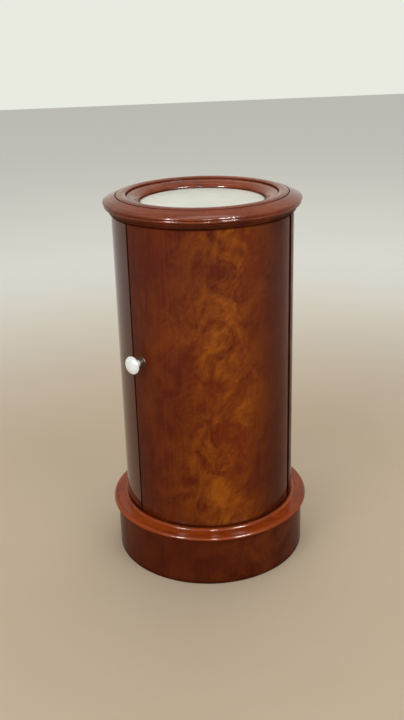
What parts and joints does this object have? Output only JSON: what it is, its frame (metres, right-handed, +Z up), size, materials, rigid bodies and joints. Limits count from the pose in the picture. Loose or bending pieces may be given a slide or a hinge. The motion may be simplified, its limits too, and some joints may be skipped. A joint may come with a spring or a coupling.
{
  "type": "cylindrical bedside pot cupboard",
  "caption": "Round mahogany bedside pot cupboard with a curved pin-hung door, a porcelain knob, a shelf inside and a round marble let into the moulded top.",
  "frame": {"origin": "on the axis of the drum, at the floor", "axes": "+Z up along the axis of the drum; the middle of the door faces -Y; the door is hung on the +X side and its knob is on the -X side"},
  "size_m": [0.4031, 0.4032, 0.74],
  "materials": {
    "figured_mahogany": "French polished figured mahogany veneer",
    "plain_mahogany": "polished solid mahogany",
    "turned_mahogany": "polished turned mahogany",
    "base_mahogany": "polished turned mahogany, lighter",
    "pine": "bare planed pine, aged",
    "marble": "polished off-white marble with faint grey veins",
    "porcelain": "glossy white glaze",
    "aged_brass": "darkened brass",
    "steel": "dull turned steel"
  },
  "bodies": {
    "carcase": {"plinth_staves": "pine", "plinth_veneer": "figured_mahogany", "plinth_glue_blocks": "pine", "base_moulding": "base_mahogany", "floor_board": "pine", "carcase_staves": "pine", "hinge_stile": "plain_mahogany", "latch_stile": "plain_mahogany", "carcase_veneer": "figured_mahogany", "shelf": "pine", "shelf_bearers": "pine", "top_board": "pine", "top_glue_blocks": "pine", "door_stops": "pine", "top_ring": "turned_mahogany", "marble_top": "marble", "base_screws": "steel", "floor_screws": "steel", "ring_screws": "steel", "bearer_screws": "steel", "lower_pivot_plate": "aged_brass", "upper_pivot_plate": "aged_brass", "lower_pin": "steel", "upper_pin": "steel", "thrust_washer": "aged_brass", "pivot_plate_screws": "aged_brass", "keeper_plate": "aged_brass", "keeper_screws": "aged_brass"},
    "door": {"door_staves": "pine", "door_hanging_stile": "plain_mahogany", "door_closing_stile": "plain_mahogany", "door_veneer": "figured_mahogany", "lower_door_plate": "aged_brass", "upper_door_plate": "aged_brass", "door_plate_screws": "aged_brass", "knob_rose": "aged_brass", "rose_pins": "aged_brass", "spindle_back_plate": "aged_brass"},
    "knob": {"knob_head": "porcelain", "knob_ferrule": "aged_brass", "knob_spindle": "steel", "spindle_washer": "aged_brass", "latch_tongue": "aged_brass", "tongue_nut": "aged_brass"}
  },
  "joints": [
    {"name": "door_swing", "type": "hinge", "parent": "carcase", "child": "door", "pos_m": [0.13886, -0.09005, 0], "axis": [0, 0, 1], "range_deg": [0, 110]},
    {"name": "knob_turn", "type": "hinge", "parent": "door", "child": "knob", "pos_m": [-0.13524, -0.10627, 0.448], "axis": [-0.7863, -0.6179, 0], "range_deg": [0, 90]}
  ]
}
